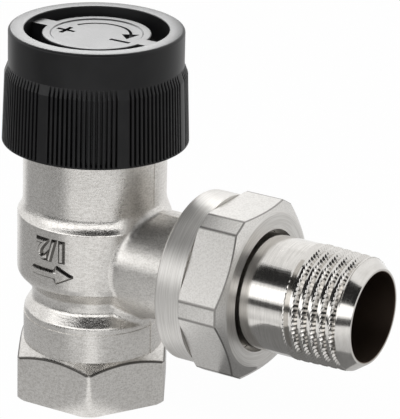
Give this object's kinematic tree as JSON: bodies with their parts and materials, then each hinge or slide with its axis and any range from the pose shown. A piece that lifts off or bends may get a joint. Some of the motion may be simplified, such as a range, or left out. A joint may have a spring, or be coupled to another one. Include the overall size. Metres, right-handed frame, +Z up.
{
  "type": "angled radiator valve",
  "caption": "Angled radiator valve: forged body with a hexagon inlet, side outlet with union nut and threaded tailpiece, and a black ribbed hand cap that closes the disc.",
  "frame": {"origin": "centre of the inlet face, on the valve axis", "axes": "+Z up the valve axis towards the hand cap, +X along the outlet towards the tailpiece's end"},
  "size_m": [0.0749, 0.0338, 0.0697],
  "materials": {
    "forged_nickel": "forged and tumbled, matt nickel plate",
    "turned_nickel": "turned, satin nickel plate",
    "bright_nickel": "turned, bright nickel plate",
    "black_plastic": "moulded, satin black",
    "plain_brass": "turned, unplated",
    "stainless": "drawn and ground",
    "seal_rubber": "moulded rubber"
  },
  "bodies": {
    "valve": {"valve_body": "forged_nickel", "bonnet": "plain_brass", "bonnet_o_ring": "seal_rubber", "gland_screw": "plain_brass", "gland_washer": "plain_brass", "guide_bush": "plain_brass", "inner_pin_o_ring": "seal_rubber", "outer_pin_o_ring": "seal_rubber", "return_spring": "stainless"},
    "spindle": {"spindle": "stainless", "spindle_circlip": "stainless", "spring_cup": "plain_brass", "disc_holder": "plain_brass", "valve_disc": "seal_rubber", "disc_nut": "plain_brass", "pressure_pin": "stainless"},
    "cap": {"hand_cap": "black_plastic"},
    "tailpiece": {"tailpiece": "bright_nickel"},
    "union_nut": {"union_nut": "turned_nickel"}
  },
  "joints": [
    {"name": "spindle_slide", "type": "slide", "parent": "valve", "child": "spindle", "axis": [0, 0, -1], "range_m": [0, 0.0025], "deforming": ["return_spring"]},
    {"name": "cap_turn", "type": "hinge", "parent": "spindle", "child": "cap", "pos_m": [0, 0, 0.06], "axis": [0, 0, -1], "range_deg": [0, 600]},
    {"name": "tailpiece_slide", "type": "slide", "parent": "valve", "child": "tailpiece", "axis": [1, 0, 0], "range_m": [0, 0.008]},
    {"name": "nut_turn", "type": "hinge", "parent": "tailpiece", "child": "union_nut", "pos_m": [0.03, 0, 0.0275], "axis": [1, 0, 0], "range_deg": [0, 1580]}
  ],
  "couplings": [
    {"joint": "spindle_slide", "follows": "cap_turn", "m_per_rad": 0.00023873},
    {"joint": "tailpiece_slide", "follows": "nut_turn", "m_per_rad": 0.0002887}
  ]
}
